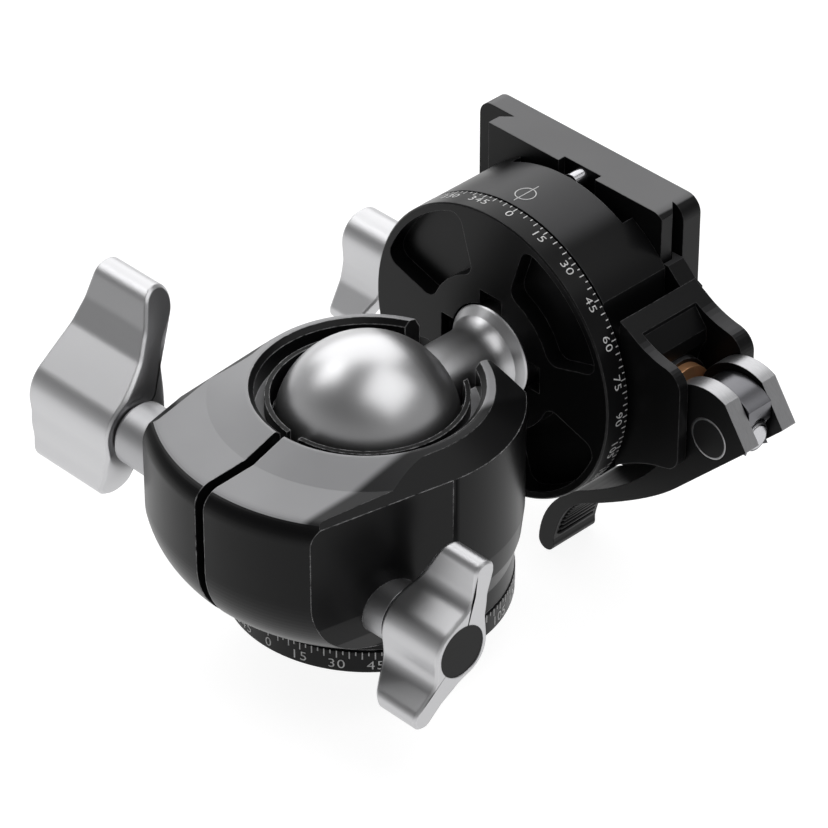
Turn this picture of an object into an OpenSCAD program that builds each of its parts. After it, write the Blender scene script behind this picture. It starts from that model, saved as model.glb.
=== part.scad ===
// Ball head with a drop notch, a panning base and a panning lever clamp with its plate.
// +Z is up. The origin is the centre of the base's underside, at the mouth of the tripod thread.
// The stem lies level along +Y. The housing's clamping slot faces -Y.

/* [Ball and stem] */
// Diameter of the ball
ball_d = 30; // [29.6:0.1:30.2]
// Height of the ball's centre above the base's underside
ball_z = 32; // [31.8:0.1:32.6]
// Gap between the ball and the two rings that grip it
ball_gap = 0.25; // [0.2:0.05:0.35]
// Diameter of the stem
stem_d = 12.4; // [11.6:0.1:12.8]
// Diameter of the stem's flange against the scale disc
flange_d = 17; // [16:0.2:18]
// Gap between the housing's round back and the scale disc
disc_gap = 2.3; // [2.1:0.1:3.3]

/* [Base] */
// Diameter of the base and its scale ring
base_d = 47.5; // [46.5:0.1:47.8]
// Height of the base's scale ring
base_h = 4.3; // [4:0.1:4.4]
// Diameter of the hollow spigot that the housing turns on, as a share of the base's diameter
spigot_ratio = 0.581; // [0.57:0.001:0.588]
// Height of the spigot's top
spigot_top = 17.9; // [17.7:0.05:18]
// Major diameter of the tripod thread
tripod_thread_d = 9.525; // [6.35:3.175:9.525]
// Depth of the tripod thread
tripod_thread_depth = 11; // [9:0.5:11.5]

/* [Housing] */
// Radius of the housing's round back, and distance of its side facets from the axis
back_r = 25.2; // [24.9:0.1:25.6]
// Radius of the housing's round front
front_r = 36.2; // [35.6:0.1:37]
// Angle that each side facet turns inward towards the front
facet_turn = 12.1; // [11:0.1:13]
// Width of the clamping slot
slot_w = 1.9; // [1.5:0.1:2.1]
// Width of the drop notch
notch_w = 16; // [15:0.1:16.4]
// Outer radius of the rim round the ball opening
rim_r = 19.3; // [19:0.1:19.6]

/* [Main lock] */
// Distance of the main lock's axis in front of the ball's centre
main_y = -24.5; // [-24.8:0.1:-24.2]
// Height of the main lock's axis
main_z = 28.5; // [28:0.1:29]
// Diameter of the main lock's screw
main_screw_d = 6; // [5:0.1:6.2]
// Diameter of the main knob's hub
main_hub_d = 12.6; // [12:0.1:13]
// Length of the main knob
main_knob_len = 19; // [18:0.5:20]

/* [Base lock] */
// Distance of the base lock's axis outside the spigot's side
pan_offset = 2.7; // [2.5:0.1:2.9]
// Height of the base lock's axis
pan_z = 16.4; // [16.2:0.1:16.5]
// Diameter of the base lock's screw
pan_screw_d = 5; // [4:0.1:5.2]
// Diameter of the base knob's hub
pan_hub_d = 11.1; // [10.8:0.1:11.6]
// Length of the base knob
pan_knob_len = 12.5; // [12:0.5:13.5]

/* [Scale disc and clamp] */
// Diameter of the scale disc and the clamp body
disc_d = 52.6; // [52:0.1:53]
// Thickness of the scale disc
disc_t = 4.8; // [4.5:0.1:5]
// Depth of the four pockets in the scale disc
pocket_depth = 3; // [2:0.1:3.4]
// Thickness of the clamp body up to the floor of its channel
clamp_t = 12.05; // [11.9:0.05:12.4]
// Height of the pads that the plate rests on, above the channel's floor
pad_h = 2.3; // [2.2:0.1:2.6]
// Half the width of the clamp's channel
channel_half = 12.5; // [12:0.1:13]
// Distance of the clamp body's flat end from the stem's axis
clamp_end_x = 20; // [19.8:0.1:20.2]
// Diameter of the clamp knob's hub
clamp_hub_d = 9.2; // [9:0.1:9.6]
// Length of the clamp knob
clamp_knob_len = 11.2; // [11:0.1:12]

/* [Lever and moving jaw] */
// Distance of the lever's barrel from the stem's axis
barrel_x = 40.9; // [40.7:0.1:41.2]
// Diameter of the tension rod
rod_d = 5; // [4.6:0.1:5]
// Diameter of the lever's barrel
barrel_d = 7.2; // [6.8:0.1:7.4]
// Radius of the lever's cam
cam_r = 9.1; // [9:0.05:9.2]
// Distance of the cam's centre from the barrel, which sets the grip
cam_offset = 0.8; // [0.6:0.05:0.9]
// Width of the lever over its two cheeks
fork_w = 11.7; // [11.4:0.1:11.8]
// Gap between the lever's two cheeks
fork_gap = 5.5; // [5.4:0.05:5.8]
// Gap between the clamp body and the moving jaw when clamped
jaw_gap = 3.3; // [3:0.1:3.5]

/* [Plate] */
// Length of the plate
plate_l = 52.8; // [50:0.2:56]
// Width of the dovetail at the plate's underside
dovetail_w = 38.9; // [38.8:0.05:39]
// Overhang of the plate beyond the dovetail on the fixed jaw's side
overhang = 6.2; // [5.5:0.1:7]
// Thickness of the plate's slab above the dovetail
slab_t = 4; // [3.8:0.1:4.6]
// Diameter of the camera screw's thread
camera_thread_d = 6.35; // [6.35:0.1:6.45]

/* [Hidden] */
$fn = 96;
ball_r = ball_d / 2;
stem_r = stem_d / 2;
flange_r = flange_d / 2;
base_r = base_d / 2;
spigot_r = base_r * spigot_ratio;
spigot_bore_r = spigot_r - 3.4;
insert_r = tripod_thread_d / 2 + 3.24;
disc_r = disc_d / 2;
disc_y = back_r + disc_gap;

// Running fits and the gaps that parts leave for each other
turn_gap = 0.06;
thread_gap = 0.03;
side_gap = 0.3;

// Heights in the base and the housing
washer_top = base_h + 0.2;
housing_z = base_h + side_gap;
neck_r = 23.6;
neck_top = housing_z + 3.9;
waist_top = neck_top + 8.5;
belly_r = 15;
belly_z = 22;
ledge_z = spigot_top - 0.25;
retainer_t = 1.2;
retainer_r = spigot_r + 1.3;
ball_bore_z = spigot_top + 2.5;
ball_bore_r = ball_r + 1.4;
groove_r = ball_bore_r + 1.6;
groove_z = ball_z + 3;
rim_z = ball_z + 7.3;
rim_inner_r = rim_r - 0.4;
liner_top = ball_z + 5.7;
front_top = ball_z + 5;
notch_face_y = rim_r + 0.1;
notch_face_r = back_r - 8;

// Lock screws across the housing
main_screw_r = main_screw_d / 2;
main_hub_r = main_hub_d / 2;
main_knob_x = back_r + 2.8;
main_collar_r = 5.5;
main_collar_x = back_r - 8.2;
pan_screw_r = pan_screw_d / 2;
pan_hub_r = pan_hub_d / 2;
pan_y = -(spigot_r + pan_offset);
pan_knob_x = back_r + side_gap;
pan_collar_r = 5;
pan_collar_x = back_r - 6.7;
shoe_r = 3.6;

// Positions along the stem's axis, from the ball outward
disc_far = disc_y + disc_t;
hub_floor = disc_y + 2;
clamp_near = disc_far + 0.25;
clamp_floor = clamp_near + clamp_t;
pad_top = clamp_floor + pad_h;
pivot_neck_r = 12;
pivot_flange_r = 13.5;
pivot_step = disc_far + 3.3;
pivot_far = disc_far + 6.1;
bearing_far = pivot_step - 0.25;
bearing_r = 16.5;
clamp_lock_y = (pivot_step + pivot_far) / 2;
clamp_screw_r = 1.5;
clamp_hub_r = clamp_hub_d / 2;
clamp_collar_r = 4.2;
clamp_knob_x = disc_r + 2.7;

// The tension rod, the lever and the moving jaw
rod_r = rod_d / 2;
barrel_r = barrel_d / 2;
rod_y = clamp_near + 8.65;
core_r = cam_r - 1;
core_flat = 5.4;
fork_near = rod_y - fork_w / 2;
fork_far = rod_y + fork_w / 2;
jaw_x = clamp_end_x + jaw_gap;
jaw_near = clamp_near + 0.45;
jaw_wall_far = fork_near - 0.45;
jaw_flange_near = fork_far + side_gap;
jaw_flange_far = jaw_flange_near + 2.95;
pocket_r = 13.9;
cam_face_x = barrel_x - cam_r - cam_offset;
washer_x = cam_face_x - side_gap;
washer_t = 1.5;
washer_r = 5.5;
arm_far = fork_far - 1.65;

// The plate and its dovetail
plate_near = pad_top + 0.05;
bead_far = plate_near + 2.45;
slab_near = plate_near + 4.25;
slab_far = slab_near + slab_t;
dovetail_x1 = clamp_end_x - 1.1;
dovetail_x0 = dovetail_x1 - dovetail_w;
bevel = slab_near - bead_far;
jaw_top = slab_near - 0.25;
jaw_play = 0.3;
plate_half = plate_l / 2;
camera_screw_r = camera_thread_d / 2;

function polar(r, a) = [r * cos(a), r * sin(a)];

// Points along an arc round a centre, from angle a0 to angle a1
function arc(centre, r, a0, a1, steps = 24) =
    [for (i = [0:steps]) centre + polar(r, a0 + (a1 - a0) * i / steps)];

// Points along a curve that leaves p0 towards p1 and reaches p2 from p1
function bend(p0, p1, p2, steps = 12) =
    [for (i = [0:steps]) let (t = i / steps) (1 - t) * (1 - t) * p0 + 2 * t * (1 - t) * p1 + t * t * p2];

// A round bar along X, at a height over the base
module x_bar(r, x0, x1, y, z) {
    translate([x0, y, z]) rotate([0, 90, 0]) cylinder(r = r, h = x1 - x0);
}

// A round bar along the stem's direction, placed from the stem's axis
module y_bar(r, y0, y1, x = 0, z = 0) {
    translate([x, y0, ball_z + z]) rotate([-90, 0, 0]) cylinder(r = r, h = y1 - y0);
}

// A turned shape about the stem's axis, from a half section of (radius, distance from the ball)
module turned_on_stem(points) {
    translate([0, 0, ball_z]) rotate([-90, 0, 0]) rotate_extrude() polygon(points);
}

// An outline of (X, height over the stem's axis), thickened from y0 to y1
module slab_along_stem(y0, y1) {
    translate([0, y1, ball_z]) rotate([90, 0, 0]) linear_extrude(y1 - y0) children();
}

// A cross-section of (X, Y), run upward from z0 to z1 about the stem's axis
module section_along_z(z0, z1) {
    translate([0, 0, ball_z + z0]) linear_extrude(z1 - z0) children();
}

// Turns a part whose axis is +Z so that it points out of the right or the left side
module out_of_right(x, y, z) {
    translate([x, y, z]) rotate([90, 0, 90]) children();
}

module out_of_left(x, y, z) {
    translate([-x, y, z]) rotate([90, 0, -90]) children();
}

// A turned ring between two radii with its outer edges broken
module ring(r_in, r_out, z0, z1, edge = 0.3) {
    rotate_extrude() polygon([
        [r_in, z0], [r_out - edge, z0], [r_out, z0 + edge],
        [r_out, z1 - edge], [r_out - edge, z1], [r_in, z1]
    ]);
}

// One wing of a knob: [tip distance, tip radius, waist distance, waist radius, waist's turn]
module wing_outline(hub_r, wing) {
    hull() {
        circle(r = hub_r, $fn = 32);
        translate(polar(wing[2], wing[4])) circle(r = wing[3], $fn = 32);
    }
    hull() {
        translate(polar(wing[2], wing[4])) circle(r = wing[3], $fn = 32);
        translate([wing[0], 0]) circle(r = wing[1], $fn = 32);
    }
}

// A knob with wings: a round hub, a back that slopes away from the body, a bore and a cap recess
module winged_knob(hub_r, length, slope, wings, turns, bore_r, cap_r) {
    reach = wings[0][0] + wings[0][1] + 1;
    difference() {
        intersection() {
            linear_extrude(length) offset(r = -1.2, $fn = 32) offset(r = 1.2, $fn = 32) {
                circle(r = hub_r);
                for (i = [0:len(wings) - 1]) rotate(turns[i]) wing_outline(hub_r, wings[i]);
            }
            rotate_extrude() polygon([
                [0, 0], [hub_r, 0], [reach, (reach - hub_r) * slope], [reach, length], [0, length]
            ]);
        }
        translate([0, 0, -1]) cylinder(r = bore_r, h = length);
        translate([0, 0, length - 1.5]) cylinder(r = cap_r, h = 2);
    }
}

module knob_cap(length, cap_r) {
    translate([0, 0, length - 1.45]) cylinder(r = cap_r - thread_gap, h = 1.3);
}

// Base: a flat plate with the hollow spigot, its scale ring and what holds the housing down on it

module base_plate() {
    ring_in = base_r - 3.3;
    color("#2c2c2e") difference() {
        union() {
            ring(0, ring_in - thread_gap, 0, base_h - 0.3);
            cylinder(r = spigot_r, h = spigot_top);
        }
        translate([0, 0, -1]) cylinder(r = insert_r, h = spigot_top + 2);
        translate([0, 0, 12.5]) cylinder(r = spigot_bore_r, h = spigot_top);
        retainer_screw_places() translate([0, 0, 12.9]) cylinder(r = 1.25 + thread_gap, h = 8, $fn = 32);
    }
}

module base_scale_ring() {
    color("#202022") ring(base_r - 3.3, base_r, 0, base_h, 0.25);
}

module tripod_insert() {
    color("#b8b9bb") difference() {
        translate([0, 0, 0.2]) cylinder(r = insert_r - thread_gap, h = tripod_thread_depth);
        cylinder(r = tripod_thread_d / 2, h = tripod_thread_depth + 1);
    }
}

module pan_washer() {
    color("#d8d5cc") ring(spigot_r + 0.7, base_r - 4, base_h - 0.3, washer_top, 0.05);
}

module retainer_screw_places() {
    for (i = [0:2]) rotate(i * 120 + 30) translate([(spigot_r + spigot_bore_r) / 2, 0, 0]) children();
}

module pan_retainer() {
    color("#8f9093") difference() {
        ring(spigot_r - 4.6, retainer_r, spigot_top, spigot_top + retainer_t, 0.2);
        retainer_screw_places() cylinder(r = 1.25 + thread_gap, h = 40, $fn = 32);
        retainer_screw_places() translate([0, 0, spigot_top + 0.4]) cylinder(r = 2.23, h = 9, $fn = 32);
    }
}

module retainer_screws() {
    color("#3a3a3c") retainer_screw_places() {
        translate([0, 0, 13.2]) cylinder(r = 1.25, h = spigot_top + 0.5 - 13.2, $fn = 32);
        translate([0, 0, spigot_top + 0.4]) difference() {
            cylinder(r = 2.2, h = retainer_t - 0.5, $fn = 32);
            translate([0, 0, 0.3]) cylinder(r = 0.9, h = 2, $fn = 6);
        }
    }
}

// Housing: the turned body, flattened by a facet on each side, split at the front and notched behind

module housing_turned() {
    rotate_extrude() polygon(concat(
        [[0, housing_z], [neck_r, housing_z], [neck_r, housing_z + 2.6]],
        arc([front_r - belly_r, belly_z], belly_r, -75.5, 0),
        arc([front_r - 3.3, front_top - 3.3], 3.3, 0, 88, 12),
        [[back_r + 0.3, front_top + 0.25], [rim_r, rim_z], [0, rim_z]]
    ));
}

// Section of a side: the neck, the curve by which the wall meets it, and the shoulder by the rim
module side_section() {
    polygon(concat(
        [[0, housing_z - 1], [neck_r, housing_z - 1]],
        [[neck_r, neck_top], [back_r - 0.5, neck_top + 3.8], [back_r, waist_top]],
        [[back_r, rim_z - 2.95], [back_r - 4.85, rim_z - 0.4], [rim_r - 0.3, rim_z + 1], [0, rim_z + 1]]
    ));
}

module to_the_front() {
    rotate([90, 0, 0]) linear_extrude(front_r + 5) children();
}

module housing_sides() {
    rotate_extrude() side_section();
    for (side = [0, 1]) mirror([side, 0, 0]) rotate([0, 0, -facet_turn]) to_the_front() side_section();
}

// What is cut away at the left, where the side falls steeply beside the rim
module left_fall_section() {
    polygon([
        [rim_r + 0.7, rim_z], [back_r + 2, rim_z - 15.4], [back_r + 9, rim_z - 15.4],
        [back_r + 9, rim_z + 5], [rim_r + 0.7, rim_z + 5]
    ]);
}

module left_fall() {
    intersection() {
        rotate_extrude() left_fall_section();
        translate([-60, 0, 0]) cube([60, 60, 80]);
    }
    mirror([1, 0, 0]) to_the_front() left_fall_section();
}

module drop_notch(width, y0) {
    y_bar(width / 2, y0, front_r + 5);
    translate([-width / 2, y0, ball_z]) cube([width, front_r, 40]);
}

module housing() {
    color("#2a2a2c") difference() {
        intersection() {
            housing_turned();
            housing_sides();
        }
        left_fall();
        cylinder(r = spigot_r + turn_gap, h = 40);
        translate([0, 0, ledge_z]) cylinder(r = retainer_r + 0.3, h = 40);
        translate([0, 0, ball_bore_z]) cylinder(r = ball_bore_r, h = 40);
        translate([0, 0, groove_z]) cylinder(r = groove_r, h = 40);
        translate([0, 0, rim_z - 0.8])
            cylinder(r1 = groove_r, r2 = rim_inner_r, h = 0.81);
        drop_notch(notch_w, 4);
        y_bar(notch_face_r, notch_face_y, front_r);
        translate([-slot_w / 2, -front_r - 5, 0]) cube([slot_w, front_r + 5, 60]);
        x_bar(main_screw_r + 0.1, -40, 0, main_y, main_z);
        x_bar(main_collar_r + thread_gap, -40, -main_collar_x, main_y, main_z);
        x_bar(4.5 + thread_gap, 0, 11.2, main_y, main_z);
        x_bar(main_screw_r + 0.1, 0, 15.5, main_y, main_z);
        x_bar(pan_collar_r + thread_gap, pan_collar_x, 50, pan_y, pan_z);
        x_bar(pan_screw_r + turn_gap, 12, 50, pan_y, pan_z);
        x_bar(shoe_r + 0.08, 2, 13, pan_y, pan_z);
    }
}

module ball_seat() {
    color("#d8d5cc") difference() {
        translate([0, 0, ball_bore_z + 0.05]) cylinder(r = ball_bore_r - 0.05, h = 1.7);
        translate([0, 0, ball_z]) sphere(r = ball_r + ball_gap);
    }
}

module ball_liner() {
    color("#3b3b3d") difference() {
        translate([0, 0, ball_bore_z + 1.8])
            cylinder(r = ball_bore_r - 0.05, h = liner_top - ball_bore_z - 1.8);
        translate([0, 0, ball_z]) sphere(r = ball_r + ball_gap);
        translate([0, 0, ball_z + 1]) cylinder(r = ball_bore_r - 0.9, h = 20);
        drop_notch(notch_w + 0.4, 4);
        translate([-1.3, -40, 0]) cube([2.6, 40, 60]);
    }
}

module main_thread_insert() {
    color("#b8a05a") difference() {
        x_bar(4.5, 1.2, 11.1, main_y, main_z);
        x_bar(main_screw_r + turn_gap, 0, 20, main_y, main_z);
    }
}

module main_collar() {
    color("#b9babc") difference() {
        union() {
            x_bar(main_collar_r, -main_knob_x + 1.2, -main_collar_x - 0.1, main_y, main_z);
            x_bar(main_collar_r - 0.8, -main_knob_x + 0.3, -main_collar_x - 0.1, main_y, main_z);
        }
        x_bar(main_screw_r + turn_gap, -40, 0, main_y, main_z);
    }
}

module pan_collar() {
    color("#b9babc") difference() {
        x_bar(pan_collar_r, pan_collar_x + 0.1, pan_knob_x - side_gap, pan_y, pan_z);
        x_bar(pan_screw_r + turn_gap, 0, 50, pan_y, pan_z);
    }
}

// The shoe that the base lock's screw drives against the spigot's side
module pan_shoe() {
    color("#c9a24e") difference() {
        x_bar(shoe_r, 2.3, 12.4, pan_y, pan_z);
        cylinder(r = spigot_r + 0.15, h = 60);
        translate([0, 0, ledge_z - 0.2]) cylinder(r = retainer_r + 0.3, h = 60);
    }
}

// Main lock knob, which draws the split housing together

module main_knob() {
    wings = [[19, 3.3, 12.2, 2.3, -3.4], [10.3, 3.1, 5.9, 2.9, 17]];
    color("#b4b5b7") out_of_left(main_knob_x, main_y, main_z)
        winged_knob(main_hub_r, main_knob_len, 0.47, wings, [126, 285.3], main_screw_r + thread_gap, 4.9);
}

module main_knob_cap() {
    color("#1d1d1f") out_of_left(main_knob_x, main_y, main_z) knob_cap(main_knob_len, 4.9);
}

module main_lock_screw() {
    color("#8d8e91") x_bar(main_screw_r, -main_knob_x - main_knob_len + 2, 14.5, main_y, main_z);
}

// Base lock knob, which drives the shoe against the spigot

module pan_knob() {
    wings = [[13.5, 2.05, 7.5, 1.9, -7.2], [11.9, 2.1, 6, 2.3, 8.8]];
    color("#b4b5b7") out_of_right(pan_knob_x, pan_y, pan_z)
        winged_knob(pan_hub_r, pan_knob_len, 0.5, wings, [68.6, 226.4], pan_screw_r + thread_gap, 4.6);
}

module pan_knob_cap() {
    color("#1d1d1f") out_of_right(pan_knob_x, pan_y, pan_z) knob_cap(pan_knob_len, 4.6);
}

module pan_lock_screw() {
    color("#8d8e91") x_bar(pan_screw_r, 12.7, pan_knob_x + pan_knob_len - 2, pan_y, pan_z);
}

// Ball, stem and the disc that carries the upper scale

module ball() {
    flat_y = sqrt(ball_r * ball_r - pow(stem_r + 0.25, 2));
    color("#c3c4c6") translate([0, 0, ball_z]) rotate([-90, 0, 0]) difference() {
        sphere(r = ball_r);
        translate([0, 0, flat_y]) cylinder(r = ball_r, h = 10);
        translate([0, 0, 4]) cylinder(r = 4 + turn_gap, h = 26);
    }
}

module stem() {
    shoulder = sqrt(ball_r * ball_r - pow(stem_r + 0.25, 2)) + 0.1;
    flare = 6.6;
    color("#a9aaad") turned_on_stem(concat(
        [[0, 4.3], [4, 4.3], [4, shoulder], [stem_r, shoulder]],
        [for (a = [0:4:32]) [stem_r + flare * (1 - cos(a)), disc_y - 5 + flare * sin(a)]],
        [[flange_r - 0.2, disc_y - 0.3], [flange_r, disc_y], [flange_r, hub_floor]],
        [[4.5, hub_floor], [4.5, pivot_far - 0.8], [0, pivot_far - 0.8]]
    ));
}

// A sector between two radii, from angle a0 to a1, with round corners
module pocket_outline(r_in, r_out, a0, a1) {
    offset(r = 2.2, $fn = 32) offset(delta = -2.2) difference() {
        polygon(concat([[0, 0]], arc([0, 0], r_out, a0, a1)));
        circle(r = r_in);
    }
}

module scale_disc() {
    color("#2a2a2c") difference() {
        turned_on_stem([
            [0, disc_y], [disc_r - 0.25, disc_y], [disc_r, disc_y + 0.25],
            [disc_r, disc_far - 0.25], [disc_r - 0.25, disc_far], [0, disc_far]
        ]);
        y_bar(flange_r + 0.3, disc_y - 1, hub_floor);
        for (i = [0:3]) slab_along_stem(disc_y - 1, hub_floor)
            rotate(i * 90) translate([0, -2.5]) square([flange_r + 2.7, 5]);
        y_bar(4.5 + thread_gap, 0, 60);
        pivot_pin_places() y_bar(1 + thread_gap, 0, 60);
        for (i = [0:3]) slab_along_stem(disc_y - 1, disc_y + pocket_depth)
            rotate(i * 90) pocket_outline(13.8, disc_r - 1.4, 17, 73);
    }
}

module pivot_pin_places() {
    for (a = [90:120:330]) translate([7.2 * cos(a), 0, 7.2 * sin(a)]) children();
}

module clamp_pivot() {
    color("#9fa0a3") difference() {
        turned_on_stem([
            [0, disc_far], [pivot_neck_r, disc_far], [pivot_neck_r, pivot_step],
            [pivot_flange_r, pivot_step], [pivot_flange_r, pivot_far], [0, pivot_far]
        ]);
        y_bar(4.5 + thread_gap, 0, 60);
        pivot_pin_places() y_bar(1 + thread_gap, 0, pivot_far - 1);
    }
}

module pivot_pins() {
    color("#8d8e91") pivot_pin_places() y_bar(1, hub_floor + 0.2, pivot_far - 1.3);
}

// Clamp: the body with its fixed jaw, the ring that it turns on and its lock

module clamp_body() {
    color("#2a2a2c") difference() {
        union() {
            intersection() {
                y_bar(disc_r, clamp_near, pad_top);
                translate([-60, 0, -60]) cube([60 + clamp_end_x, 100, 200]);
            }
            fixed_jaw();
        }
        translate([-channel_half, clamp_floor, -60]) cube([2 * channel_half, 20, 200]);
        y_bar(bearing_r + thread_gap, clamp_near - 1, pivot_step - 0.1);
        y_bar(pivot_flange_r + 0.3, clamp_near - 1, pivot_far + 0.2);
        x_bar(rod_r + thread_gap, -11.5, 40, rod_y, ball_z);
        x_bar(4.6, clamp_end_x - 5, 40, rod_y, ball_z);
        guide_pin_places() x_bar(1.5 + thread_gap, clamp_end_x - 6.8, 40, 0, ball_z);
        x_bar(clamp_screw_r + turn_gap, -40, -12, clamp_lock_y, ball_z);
        x_bar(clamp_collar_r + thread_gap, -40, -21, clamp_lock_y, ball_z);
    }
}

module fixed_jaw() {
    wall = dovetail_x0 - jaw_play;
    intersection() {
        section_along_z(-disc_r, disc_r) polygon([
            [wall, clamp_near + 6], [wall, bead_far], [wall + jaw_top - bead_far, jaw_top],
            [-disc_r, jaw_top], [-disc_r, clamp_near + 6]
        ]);
        y_bar(disc_r, clamp_near, jaw_top + 1);
    }
}

module clamp_bearing() {
    color("#c9a24e") difference() {
        y_bar(bearing_r, clamp_near + 0.1, bearing_far);
        y_bar(pivot_neck_r + turn_gap, 0, 60);
    }
}

module clamp_collar() {
    color("#b9babc") difference() {
        x_bar(clamp_collar_r, -clamp_knob_x + side_gap, -21.1, clamp_lock_y, ball_z);
        x_bar(clamp_screw_r + turn_gap, -60, 0, clamp_lock_y, ball_z);
    }
}

module clamp_shoe() {
    color("#c9a24e") x_bar(clamp_screw_r, -16.6, -pivot_flange_r - 0.25, clamp_lock_y, ball_z);
}

module clamp_knob() {
    wings = [[13.6, 1.8, 6.4, 1.9, 0]];
    color("#b4b5b7") out_of_left(clamp_knob_x, clamp_lock_y, ball_z)
        winged_knob(clamp_hub_r, clamp_knob_len, 0.5, wings, [-65], clamp_screw_r + thread_gap, 3.6);
}

module clamp_knob_cap() {
    color("#1d1d1f") out_of_left(clamp_knob_x, clamp_lock_y, ball_z) knob_cap(clamp_knob_len, 3.6);
}

module clamp_lock_screw() {
    color("#8d8e91")
        x_bar(clamp_screw_r, -clamp_knob_x - clamp_knob_len + 2, -16.8, clamp_lock_y, ball_z);
}

// The rod that the moving jaw slides on, with the barrel, the guide pins and the return spring

module tension_rod() {
    color("#8d8e91") x_bar(rod_r, -11, barrel_x + 5, rod_y, ball_z);
}

module lever_barrel() {
    color("#b9babc") difference() {
        union() {
            y_bar(barrel_r, fork_near, fork_far, barrel_x);
            intersection() {
                y_bar(core_r, rod_y - fork_gap / 2 + 0.2, rod_y + fork_gap / 2 - 0.2, barrel_x);
                translate([0, 0, ball_z - 2.4]) cube([barrel_x + core_flat, 80, 40]);
            }
        }
        x_bar(rod_r + thread_gap, 0, 60, rod_y, ball_z);
        translate([barrel_x + core_flat - 1, rod_y, ball_z]) rotate([0, 90, 0])
            cylinder(r1 = rod_r + 0.2, r2 = rod_r + 1.3, h = 1.01);
    }
}

module guide_pin_places() {
    for (side = [-1, 1]) translate([0, rod_y - 3, side * 7.5]) children();
}

module guide_pins() {
    color("#8d8e91") guide_pin_places() x_bar(1.5, clamp_end_x - 6.5, jaw_x + 3.8, 0, ball_z);
}

module jaw_spring() {
    turns = 3.5;
    x0 = clamp_end_x - 4.8;
    length = jaw_x + 2.5 - x0;
    wire_angle = 80;
    color("#9a9b9d") translate([x0, rod_y, ball_z]) rotate([0, 90, 0])
        linear_extrude(height = length, twist = -360 * turns, slices = 56, segments = 12)
            polygon(concat(arc([0, 0], 4.1, 0, wire_angle, 5), arc([0, 0], 3.3, wire_angle, 0, 5)));
}

// The moving jaw: a block with a pocket for the lever's cam, and a lip over the dovetail

module jaw_outline() {
    polygon(concat(
        [[jaw_x, 15]],
        bend([jaw_x + 2.5, 13.7], [jaw_x + 6, 11.4], [jaw_x + 10.2, 10.9], 8),
        arc([jaw_x + 9.8, 7.4], 3.5, 80, 0, 8),
        arc([jaw_x + 10, -5], 3.3, 0, -60, 8),
        bend([jaw_x + 9.8, -8.4], [jaw_x + 5.5, -9.4], [jaw_x, -13.2], 8)
    ));
}

// The lip's ends slope down to the flange
module lip_outline() {
    polygon([
        [jaw_x - 9, -17.2], [jaw_x - 3.1, -17.2], [jaw_x - 0.4, -14.7], [jaw_x + 2, -13.5],
        [jaw_x + 2, 13.5], [jaw_x - 0.4, 14.7], [jaw_x - 3.1, 17.2], [jaw_x - 9, 17.2]
    ]);
}

module moving_jaw() {
    lip_x = dovetail_x1 + jaw_play;
    color("#2a2a2c") difference() {
        union() {
            slab_along_stem(jaw_near, jaw_flange_far) jaw_outline();
            intersection() {
                section_along_z(-17.5, 17.5) polygon([
                    [jaw_x + 1.2, jaw_flange_near], [lip_x, jaw_flange_near], [lip_x, bead_far],
                    [lip_x - jaw_top + bead_far, jaw_top], [jaw_x + 1.2, jaw_top]
                ]);
                slab_along_stem(jaw_flange_near - 1, jaw_top + 1) lip_outline();
            }
        }
        difference() {
            union() {
                y_bar(pocket_r, jaw_wall_far, jaw_flange_near, barrel_x);
                slab_along_stem(jaw_wall_far, jaw_flange_near) polygon([
                    [jaw_x + 3.1, 20], [jaw_x + 3.1, 12.6], [jaw_x + 5.6, 9.5],
                    [jaw_x + 5.6, 2], [jaw_x + 14, 2], [jaw_x + 14, 20]
                ]);
            }
            x_bar(washer_r + 0.7, jaw_x, washer_x - washer_t, rod_y, ball_z);
        }
        x_bar(rod_r + 0.2, 0, 60, rod_y, ball_z);
        x_bar(4.6, 0, jaw_x + 2.7, rod_y, ball_z);
        guide_pin_places() x_bar(1.5 + turn_gap, 0, jaw_x + 4.1, 0, ball_z);
    }
}

module cam_washer() {
    color("#b8754a") difference() {
        x_bar(washer_r, washer_x - washer_t, washer_x, rod_y, ball_z);
        x_bar(rod_r + 0.2, 0, 60, rod_y, ball_z);
    }
}

// The lever: two cam cheeks on the barrel and a bent arm that ends in a ribbed tab,
// both drawn from the barrel's axis
heel = [7.9, 1.3];
arm_start = [-6.6, -13.3];
arm_knee = [-26.8, -27.2];

module arm_outline() {
    polygon(concat(
        [heel],
        bend(arm_start, [-12.7, -19.4], arm_knee),
        bend(arm_knee, [-31.7, -30], [-33.3, -38.2]),
        arc([-34.95, -39.3], 1.7, 15, -180, 10),
        bend([-36.6, -38.3], [-35.7, -30.5], [-28, -25.2]),
        bend([-28, -25.2], [-14.4, -17.8], [-9.3, -8.6]),
        [[-7.9, -4], [0.1, 1.3]]
    ));
}

module cam_outline() {
    difference() {
        translate([-cam_offset, 0]) circle(r = cam_r);
        polygon([heel, arm_start, [20, arm_start[1]], [20, heel[1]]]);
        polygon([[3.1, 8.25], heel, [20, heel[1]], [20, 20], [3.1, 20]]);
    }
}

module lever() {
    color("#29292b") difference() {
        union() {
            slab_along_stem(fork_near, fork_far) translate([barrel_x, 0]) cam_outline();
            slab_along_stem(fork_near, arm_far) translate([barrel_x, 0]) arm_outline();
        }
        y_bar(barrel_r + turn_gap, 0, 80, barrel_x);
        slab_along_stem(rod_y - fork_gap / 2, rod_y + fork_gap / 2) translate([barrel_x, 0]) {
            circle(r = 6.6);
            translate([-20, -3.2]) square([40, 30]);
        }
    }
}

// The plate that the camera is screwed to

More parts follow.
